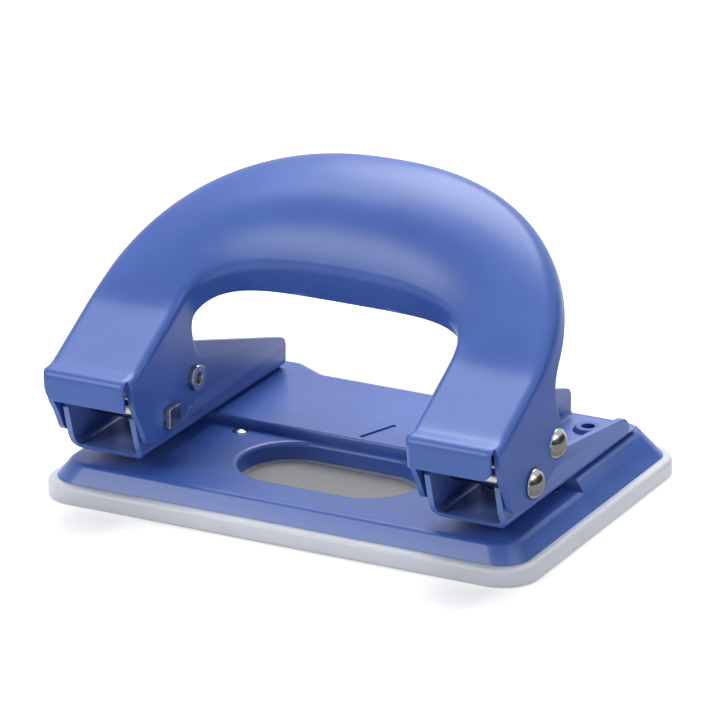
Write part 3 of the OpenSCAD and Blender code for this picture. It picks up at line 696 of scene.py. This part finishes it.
# %% Tray
TRAY_STEPS = 14
RIM_OUT, RIM_H, RIM_TOP, RIM_FOOT = 1.9, 3.8, 1.1, 0.5
LIP_INSET, LIP_LOW, LIP_HIGH, LIP_EDGE = 2.338, 2.0, 5.2, 0.4
TRAY_WALL, TRAY_FLOOR, SLOPE_ROOM = 1.2, 1.2, 0.3
ISLAND = [(0.2, 2.2), (3.25, 2.2), (3.65, 1.9)]
ISLAND_HOLLOW = [(-1.0, 1.0), (2.45, 1.0)]

tray = rounded_block("tray_moulding", -RIM_OUT, 0.0, RIM_H, TRAY_STEPS)
soften_rim(tray, RIM_H, RIM_TOP)
soften_rim(tray, 0.0, RIM_FOOT)
tray_lip = rounded_block("tray_lip", LIP_INSET, LIP_LOW, LIP_HIGH, TRAY_STEPS)
soften_rim(tray_lip, LIP_HIGH, LIP_EDGE)
slope_room = rear_wedge(SHEET + SLOPE_ROOM)
cut(slope_room, box_tool("below_rim", (-90, -90, -30), (90, 90, RIM_H)))
cut(tray_lip, slope_room)
cut(tray, tray_lip, "UNION")
cut(tray, rounded_block("tray_cavity", LIP_INSET + TRAY_WALL, TRAY_FLOOR, 8.0, TRAY_STEPS))
cut(tray, stadium_tool("island", ISLAND), "UNION")
cut(tray, stadium_tool("island_hollow", ISLAND_HOLLOW))
smooth(tray)
print("tray:", len(tray.data.polygons), "faces")

# %% [markdown]
# ## Channel brackets and small steel parts
# These are right as the frame has them, but a drawn edge is never razor sharp. They could be
# modelled again, but a copy keeps every size. The copy's loose triangles are merged and dissolved
# back into whole faces, and a fine bevel breaks the edges so that they catch the light.


# %% Softened copies
def softened(source, name, width, degrees=35):
    piece = source.copy()
    piece.data = source.data.copy()
    piece.name = name
    for key in list(piece.keys()):
        del piece[key]
    piece.parent = None
    bpy.context.scene.collection.objects.link(piece)
    only(piece)
    bpy.ops.mesh.customdata_custom_splitnormals_clear()
    bpy.ops.object.mode_set(mode="EDIT")
    bpy.ops.mesh.select_all(action="SELECT")
    bpy.ops.mesh.remove_doubles(threshold=0.002 * MM)
    bpy.ops.mesh.dissolve_limited(angle_limit=math.radians(0.8))
    done()
    apply(
        piece,
        "BEVEL",
        width=width * MM,
        segments=2,
        limit_method="ANGLE",
        angle_limit=math.radians(degrees),
    )
    smooth(piece, degrees)
    return piece


# For each part: how it was made, the width of its broken edge, its body and its finish
SOFT_PARTS = {
    "bracket": ("channel", 0.22, "base", "painted_steel"),
    "pivot_pin": ("shouldered", 0.12, "base", "nickel_plate"),
    "drive_pin": ("riveted", 0.12, "lever", "nickel_plate"),
    "punch": ("ground", 0.08, "{side}_punch", "tool_steel"),
    "spring_washer": ("stamped", 0.08, "{side}_punch", "nickel_plate"),
    "punch_clip": ("snapped", 0.08, "{side}_punch", "spring_steel"),
    "die_plate": ("blanked", 0.12, "base", "tool_steel"),
    "bracket_rivets": ("rolled", 0.12, "base", "painted_steel"),
    "die_rivets": ("headed", 0.06, "base", "nickel_plate"),
}
made = []
for part, (word, width, body, slot_name) in SOFT_PARTS.items():
    for side in ("left", "right"):
        twin = f"{part}_{side}"
        piece = softened(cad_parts[twin], f"{twin}_{word}", width)
        made.append((piece, body.format(side=side), slot_name, twin))
print("softened copies:", len(made))

# %% [markdown]
# ## Return springs
# Each punch is lifted by a cone-shaped coil of round wire, wide end down, so that its turns nest
# when the handle is pressed. A screw modifier could wind it, but a line of points up the cone,
# given the wire's thickness, is the plainest way, and it is turned into a mesh at the end.

# %% Springs
WIRE, TURNS, LOW_R, TOP_R, SPRING_H = 0.7, 3.5, 6.25, 3.65, 6.0
SPRING_FOOT, STEPS_A_TURN = 11.05, 40


def wound_spring(side, sign):
    line = bpy.data.curves.new("spring_line", "CURVE")
    line.dimensions = "3D"
    line.bevel_depth = WIRE / 2 * MM
    line.bevel_resolution = 4
    line.use_fill_caps = True
    count = int(TURNS * STEPS_A_TURN)
    spline = line.splines.new("POLY")
    spline.points.add(count)
    for i, point in enumerate(spline.points):
        u = i / count
        r, turn = mix(LOW_R, TOP_R, u), 2 * math.pi * TURNS * u
        x, y = sign * (HEAD_X + r * math.cos(turn)), PUNCH_Y + r * math.sin(turn)
        z = SPRING_FOOT + mix(WIRE / 2, SPRING_H - WIRE / 2, u)
        point.co = (x * MM, y * MM, z * MM, 1)
    spring = bpy.data.objects.new(f"spring_{side}_wound", line)
    bpy.context.scene.collection.objects.link(spring)
    only(spring)
    bpy.ops.object.convert(target="MESH")
    spring = bpy.context.object
    bpy.ops.object.mode_set(mode="EDIT")
    bpy.ops.mesh.select_all(action="SELECT")
    bpy.ops.mesh.remove_doubles(threshold=0.002 * MM)
    bpy.ops.mesh.normals_make_consistent(inside=False)
    done()
    smooth(spring, 50)
    return spring


springs = {"left": wound_spring("left", -1), "right": wound_spring("right", 1)}
print("springs:", [len(s.data.polygons) for s in springs.values()], "faces")

# %% [markdown]
# ## Finishes
# Colours are written as they look on a screen and turned to linear light by one function. One more
# function adds a node, sets it and links it, so that each finish below reads as a list of its
# nodes.


# %% Colour and node helpers
def linear(code):
    parts = [int(code[i : i + 2], 16) / 255 for i in (1, 3, 5)]
    return (*[c / 12.92 if c <= 0.04045 else ((c + 0.055) / 1.055) ** 2.4 for c in parts], 1.0)


def node(tree, kind, links=None, **settings):
    made_node = tree.nodes.new(kind)
    for name, value in settings.items():
        setattr(made_node, name, value)
    for socket, value in (links or {}).items():
        target = made_node.inputs[socket]
        if isinstance(value, bpy.types.NodeSocket):
            tree.links.new(value, target)
        else:
            target.default_value = value
    return made_node


def finish_for(name, **settings):
    """A new material with its shader, and its Object coordinates."""
    material = bpy.data.materials.new(name)
    material.use_nodes = True
    tree = material.node_tree
    shader = tree.nodes["Principled BSDF"]
    for socket, value in settings.items():
        shader.inputs[socket.replace("_", " ")].default_value = value
    return material, tree, shader, node(tree, "ShaderNodeTexCoord").outputs["Object"]


def per_metre(millimetres):
    """Scale of a pattern whose features are this far apart."""
    return 1000.0 / millimetres


print("the grey #808080 is", round(linear("#808080")[0], 3), "in linear light")

# %% [markdown]
# ** Blue stove enamel on pressed steel.** Sprayed and baked enamel is a smooth coat with a faint
# ripple, called orange peel, of about 1.5 mm. It gives soft, wide highlights and a slight change of
# tone from place to place where the coat is thicker. A paler blue is painted along sharp edges,
# partly wear and partly a painted highlight. That line could be painted by hand, but Pointiness
# tells sharp edges from flat places and finds them all.

# %% Enamel
PATCH_MM, PEEL_MM = 14, 1.5
enamel, tree, shader, place = finish_for(
    "blue_stove_enamel", IOR=1.43, Coat_Weight=0.15, Coat_Roughness=0.25, Coat_IOR=1.5
)
patches = node(
    tree,
    "ShaderNodeTexNoise",
    {"Vector": place, "Scale": per_metre(PATCH_MM), "Detail": 3.0, "Roughness": 0.55},
)
tone = node(tree, "ShaderNodeValToRGB", {"Fac": patches.outputs["Fac"]})
thin_coat, thick_coat = tone.color_ramp.elements
thin_coat.position, thick_coat.position = 0.3, 0.7
thin_coat.color, thick_coat.color = linear("#3354A2"), linear("#3D60AE")
edges = node(tree, "ShaderNodeNewGeometry").outputs["Pointiness"]
# Sharp edges are mixed towards a paler blue: partly wear, partly a painted highlight
edge_wear_and_highlight = node(
    tree,
    "ShaderNodeMapRange",
    {"Value": edges, "From Min": 0.53, "From Max": 0.62, "To Max": 0.35},
)
coat = node(
    tree,
    "ShaderNodeMix",
    {"Factor": edge_wear_and_highlight.outputs["Result"], 6: tone.outputs["Color"], 7: linear("#8298D0")},
    data_type="RGBA",
)
tree.links.new(coat.outputs[2], shader.inputs["Base Color"])
peel = node(
    tree,
    "ShaderNodeTexNoise",
    {"Vector": place, "Scale": per_metre(PEEL_MM), "Detail": 2.0, "Roughness": 0.5},
)
ripple = node(
    tree,
    "ShaderNodeBump",
    {"Height": peel.outputs["Fac"], "Strength": 0.05, "Distance": 0.0002},
)
tree.links.new(ripple.outputs["Normal"], shader.inputs["Normal"])
shine = node(
    tree,
    "ShaderNodeMapRange",
    {"Value": patches.outputs["Fac"], "To Min": 0.34, "To Max": 0.42},
)
tree.links.new(shine.outputs["Result"], shader.inputs["Roughness"])
print("enamel ripple every", PEEL_MM, "mm")

# %% [markdown]
# **Frosted polystyrene.** The tray's mould is etched, so the surface is a fine pebble of about
# half a millimetre. Light goes some way in and comes out diffused, so the rim looks milky and
# picks up a little blue from the steel above it. A little transmission and subsurface scattering
# give that.

# %% Frosted plastic
CLOUD_MM, PEBBLE_MM = 9, 0.5
frosted, tree, shader, place = finish_for(
    "frosted_polystyrene",
    IOR=1.55,
    Transmission_Weight=0.25,
    Subsurface_Weight=0.4,
    Subsurface_Radius=(1.0, 1.0, 1.1),
    Subsurface_Scale=0.003,
)
cloud = node(
    tree, "ShaderNodeTexNoise", {"Vector": place, "Scale": per_metre(CLOUD_MM), "Detail": 3.0}
)
milk = node(tree, "ShaderNodeValToRGB", {"Fac": cloud.outputs["Fac"]})
thin_milk, thick_milk = milk.color_ramp.elements
thin_milk.color, thick_milk.color = linear("#DADFEB"), linear("#E6EAF3")
pebble = node(
    tree, "ShaderNodeTexNoise", {"Vector": place, "Scale": per_metre(PEBBLE_MM), "Detail": 2.0}
)
frost = node(
    tree,
    "ShaderNodeBump",
    {"Height": pebble.outputs["Fac"], "Strength": 0.25, "Distance": 0.0001},
)
tree.links.new(frost.outputs["Normal"], shader.inputs["Normal"])
dull = node(
    tree, "ShaderNodeMapRange", {"Value": pebble.outputs["Fac"], "To Min": 0.32, "To Max": 0.5}
)
tree.links.new(dull.outputs["Result"], shader.inputs["Roughness"])
print("frosting every", PEBBLE_MM, "mm")

# %% [markdown]
# The island lies deep under the window, in the shade of the base around it, and that shade is
# painted on it as a grey. How far a point lies from the window's middle line says whether it is on
# the island, and a few Math nodes work that out from the Object coordinates.

# %% Painted shade on the island
HALF_STRAIGHT = (WINDOW_W - WINDOW_D) / 2
SHADE_FROM, SHADE_TO = WINDOW_D / 2 - 0.2, WINDOW_D / 2 - 1.0
axes = node(tree, "ShaderNodeSeparateXYZ", {0: place})
sideways = node(tree, "ShaderNodeMath", {0: axes.outputs["X"]}, operation="ABSOLUTE")
past_straight = node(
    tree,
    "ShaderNodeMath",
    {0: sideways.outputs[0], 1: HALF_STRAIGHT * MM},
    operation="SUBTRACT",
)
beyond = node(tree, "ShaderNodeMath", {0: past_straight.outputs[0], 1: 0.0}, operation="MAXIMUM")
ahead = node(tree, "ShaderNodeMath", {0: axes.outputs["Y"], 1: WINDOW_Y * MM}, operation="SUBTRACT")
flat = node(tree, "ShaderNodeCombineXYZ", {"X": beyond.outputs[0], "Y": ahead.outputs[0]})
reach = node(tree, "ShaderNodeVectorMath", {0: flat.outputs["Vector"]}, operation="LENGTH")
# The grey mixed in on the island is painted shade from the window's recess
island_shade = node(
    tree,
    "ShaderNodeMapRange",
    {
        "Value": reach.outputs["Value"],
        "From Min": SHADE_FROM * MM,
        "From Max": SHADE_TO * MM,
        "To Max": 0.95,
    },
)
shade = node(
    tree,
    "ShaderNodeMix",
    {"Factor": island_shade.outputs["Result"], 6: milk.outputs["Color"], 7: linear("#9A9995")},
    data_type="RGBA",
)
tree.links.new(shade.outputs[2], shader.inputs["Base Color"])
# The painted shade reaches up to this distance from the middle line
print("the island is thin up to", round(SHADE_FROM, 1), "mm from its middle line")

# %% [markdown]
# **Metals.** The pins and rivets are nickel plated in a barrel: bright, with tiny tumbling marks.
# The punches and dies are ground, which leaves lines. The spring wire is drawn and oil-blackened.
# All three are the same nodes with other numbers: noise that is stretched for the lines and left
# even for the other two.


# %% Nickel, ground steel and spring wire
def metal(name, dark, light, mark_mm, rough, bump, stretch=(1, 1, 1)):
    material, tree, shader, place = finish_for(name, Metallic=1.0)
    turned = node(tree, "ShaderNodeMapping", {"Vector": place, "Scale": stretch})
    marks = node(
        tree,
        "ShaderNodeTexNoise",
        {"Vector": turned.outputs["Vector"], "Scale": per_metre(mark_mm), "Detail": 3.0},
    )
    colour = node(tree, "ShaderNodeValToRGB", {"Fac": marks.outputs["Fac"]})
    low, high = colour.color_ramp.elements
    low.position, high.position = 0.3, 0.7
    low.color, high.color = linear(dark), linear(light)
    tree.links.new(colour.outputs["Color"], shader.inputs["Base Color"])
    gloss = node(
        tree,
        "ShaderNodeMapRange",
        {"Value": marks.outputs["Fac"], "To Min": rough - 0.06, "To Max": rough + 0.08},
    )
    tree.links.new(gloss.outputs["Result"], shader.inputs["Roughness"])
    relief = node(
        tree,
        "ShaderNodeBump",
        {"Height": marks.outputs["Fac"], "Strength": bump, "Distance": 0.0001},
    )
    tree.links.new(relief.outputs["Normal"], shader.inputs["Normal"])
    return material


GRINDING = (1, 1, 0.15)  # the marks run along the punch
nickel = metal("barrel_nickel_plate", "#A8A6A1", "#BAB7B1", 0.8, 0.18, 0.06)
ground = metal("ground_tool_steel", "#7C7E82", "#A6A8AB", 0.5, 0.34, 0.12, GRINDING)
blackened = metal("oil_blackened_spring_steel", "#55575B", "#7B7D81", 0.4, 0.36, 0.08)
SLOT_FINISH = {
    "painted_steel": enamel,
    "frosted_plastic": frosted,
    "nickel_plate": nickel,
    "tool_steel": ground,
    "spring_steel": blackened,
}
print("finishes:", [m.name for m in SLOT_FINISH.values()])

# %% [markdown]
# ## Riding on the frame
# Each piece stands for its node and moves with its body. A spring can't follow its punch as a
# rigid piece, so it stays with the base.


# %% Riding
def seat(piece, body, slot_name, replaced):
    piece.data.materials.clear()
    piece.data.materials.append(SLOT_FINISH[slot_name])
    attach(piece, body)
    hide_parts(replaced)


seat(base, "base", "painted_steel", "base_plate")
seat(handle, "lever", "painted_steel", "handle")
seat(tray, "tray", "frosted_plastic", "chip_tray")
for piece, body, slot_name, replaced in made:
    seat(piece, body, slot_name, replaced)
for side, spring in springs.items():
    seat(spring, "base", "spring_steel", f"return_spring_{side}")
    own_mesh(spring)

# %% [markdown]
# ## Floor and room
# The photograph is a studio shot on white. The floor is pale, and what the camera sees of it and
# of the backdrop is lifted to white, while the object is lit only by the lamps and a dim white
# room. More light would give a white floor too, but it would bleach the colours.

# %% Floor and room
FLOOR_SIZE, FLOOR_LIFT, ROOM_LIGHT = 8, 0.3, 0.27
PLAIN_FROM, PLAIN_TO = 0.15, 0.5
WHITE = (1, 1, 1, 1)


def shown_rays(tree):
    """1 for what is seen straight, mirrored or through plastic, and 0 for scattered light."""
    path = node(tree, "ShaderNodeLightPath").outputs
    mirrored = node(
        tree,
        "ShaderNodeMath",
        {0: path["Is Camera Ray"], 1: path["Is Glossy Ray"]},
        operation="ADD",
    )
    through = node(
        tree,
        "ShaderNodeMath",
        {0: mirrored.outputs[0], 1: path["Is Transmission Ray"]},
        operation="ADD",
        use_clamp=True,
    )
    return through.outputs[0]


bpy.ops.object.select_all(action="DESELECT")
bpy.ops.mesh.primitive_plane_add(size=FLOOR_SIZE)
floor = bpy.context.object
floor.name = "floor"
paper = bpy.data.materials.new("white_paper_floor")
paper.use_nodes = True
tree = paper.node_tree
tree.nodes.remove(tree.nodes["Principled BSDF"])
lit = shown_rays(tree)
matt = node(tree, "ShaderNodeBsdfDiffuse", {"Color": linear("#F2F2F2")})
lifted = node(tree, "ShaderNodeEmission", {"Color": WHITE, "Strength": FLOOR_LIFT})
dark = node(tree, "ShaderNodeEmission", {"Color": (0, 0, 0, 1), "Strength": 0.0})
glow = node(tree, "ShaderNodeMixShader", {"Fac": lit, 1: dark.outputs[0], 2: lifted.outputs[0]})
both = node(tree, "ShaderNodeAddShader", {0: matt.outputs[0], 1: glow.outputs[0]})
# Away from the object, where the lamps don't reach, the paper is plain white
place = node(tree, "ShaderNodeTexCoord").outputs["Object"]
away = node(tree, "ShaderNodeVectorMath", {0: place}, operation="LENGTH")
far = node(
    tree,
    "ShaderNodeMapRange",
    {"Value": away.outputs["Value"], "From Min": PLAIN_FROM, "From Max": PLAIN_TO},
)
plain = node(tree, "ShaderNodeMath", {0: far.outputs["Result"], 1: lit}, operation="MULTIPLY")
white = node(tree, "ShaderNodeEmission", {"Color": WHITE, "Strength": 1.0})
whole = node(
    tree, "ShaderNodeMixShader", {"Fac": plain.outputs[0], 1: both.outputs[0], 2: white.outputs[0]}
)
tree.links.new(whole.outputs[0], tree.nodes["Material Output"].inputs["Surface"])
floor.data.materials.append(paper)

world = bpy.data.worlds.new("white_room")
bpy.context.scene.world = world
world.use_nodes = True
tree = world.node_tree
tree.nodes.clear()
lit = shown_rays(tree)
room = node(tree, "ShaderNodeBackground", {"Color": WHITE, "Strength": ROOM_LIGHT})
white = node(tree, "ShaderNodeBackground", {"Color": WHITE, "Strength": 1.0})
shown = node(tree, "ShaderNodeMixShader", {"Fac": lit, 1: room.outputs[0], 2: white.outputs[0]})
node(tree, "ShaderNodeOutputWorld", {"Surface": shown.outputs[0]})
print("floor of", FLOOR_SIZE, "m, and a room of strength", ROOM_LIGHT)

# %% [markdown]
# ## Cards beside the object
# Glossy enamel and nickel look pale where all that they mirror is white. A photographer puts dark
# cards beside such things, and so does this scene: one stands and one lies on the right. Less
# light would darken everything, but a card darkens mainly what mirrors it.


# %% Cards
def card(name, code, place, turn, size):
    """A card that the camera doesn't see and that casts no shadow: what shows is its reflection."""
    bpy.ops.object.select_all(action="DESELECT")
    bpy.ops.mesh.primitive_plane_add(size=1)
    flag = bpy.context.object
    flag.name = name
    turned = Matrix.Rotation(turn, 4, "Y") @ Matrix.Diagonal((*size, 1, 1))
    flag.data.transform(Matrix.Translation(place) @ turned)
    flag.visible_camera = flag.visible_shadow = flag.visible_transmission = False
    surface = bpy.data.materials.new(name)
    surface.use_nodes = True
    shader = surface.node_tree.nodes["Principled BSDF"]
    shader.inputs["Base Color"].default_value = linear(code)
    shader.inputs["Roughness"].default_value = 0.9
    flag.data.materials.append(surface)
    return flag


card("standing_black_card", "#1C1C1E", (0.5, 0.3, 0.16), math.pi / 2, (0.32, 2.2))
lying = card("lying_grey_card", "#9A9A9C", (0.186, 0.12, 0.001), 0.0, (0.26, 0.56))
# Hidden from scattered light too, so that it takes away none of the light the floor throws up
lying.visible_diffuse = False
print("two cards on the right")

# %% [markdown]
# ## Lamps
# Four round soft lamps stand about a metre away, because small or near ones would give hard,
# uneven highlights. The key is in front on the left. The back one, wide and strong, gives the
# broad highlight over the top of the arch. The top one is above on the left, and a weak fill is on
# the right.

# %% Lamps
AIM = Vector((0, 0, 0.03))
# For each lamp: place and diameter in metres, and power in watts
LAMPS = {
    "key": ((-0.45, -0.72, 0.56), 0.4, 3.3),
    "back": ((-0.12, 0.5, 0.86), 0.75, 9.2),
    "top": ((-0.43, 0.1, 0.92), 0.36, 1.5),
    "fill": ((0.72, -0.12, 0.5), 0.5, 1.8),
}
for name, (lamp_place, size, watts) in LAMPS.items():
    data = bpy.data.lights.new(name, "AREA")
    data.shape, data.size, data.energy = "DISK", size, watts
    lamp = bpy.data.objects.new(name, data)
    bpy.context.scene.collection.objects.link(lamp)
    lamp.location = lamp_place
    lamp.rotation_mode = "QUATERNION"
    lamp.rotation_quaternion = (AIM - Vector(lamp_place)).to_track_quat("-Z", "Y")
bpy.context.scene.view_settings.view_transform = "Standard"
print("lamps:", list(LAMPS))

# %% [markdown]
# ## Camera
# The photograph was taken from the front right with a long lens, so that lines hardly converge.
# The three directions below were fitted to it: the picture's right, its up, and the way back to
# the camera.

# %% Camera
RIGHT, UP = Vector((0.8882, 0.4594, 0.0)), Vector((-0.1686, 0.3261, 0.9302))
BACK = Vector((0.4273, -0.8262, 0.3671))
SHIFT = Vector((0, -1.2, 0))
DISTANCE, LENS, SENSOR = 1202, 300, 36
camera_place = (DISTANCE * BACK + SHIFT) * MM
target = (0.24 * RIGHT + 24.84 * UP + SHIFT) * MM
camera_data = bpy.data.cameras.new("camera")
camera_data.lens, camera_data.sensor_width = LENS, SENSOR
camera_data.clip_start, camera_data.clip_end = 0.05, 20
camera = bpy.data.objects.new("camera", camera_data)
bpy.context.scene.collection.objects.link(camera)
camera.location = camera_place
camera.rotation_mode = "QUATERNION"
camera.rotation_quaternion = (target - camera_place).to_track_quat("-Z", "Y")
bpy.context.scene.camera = camera
print("camera", round(camera_place.length, 3), "m away")
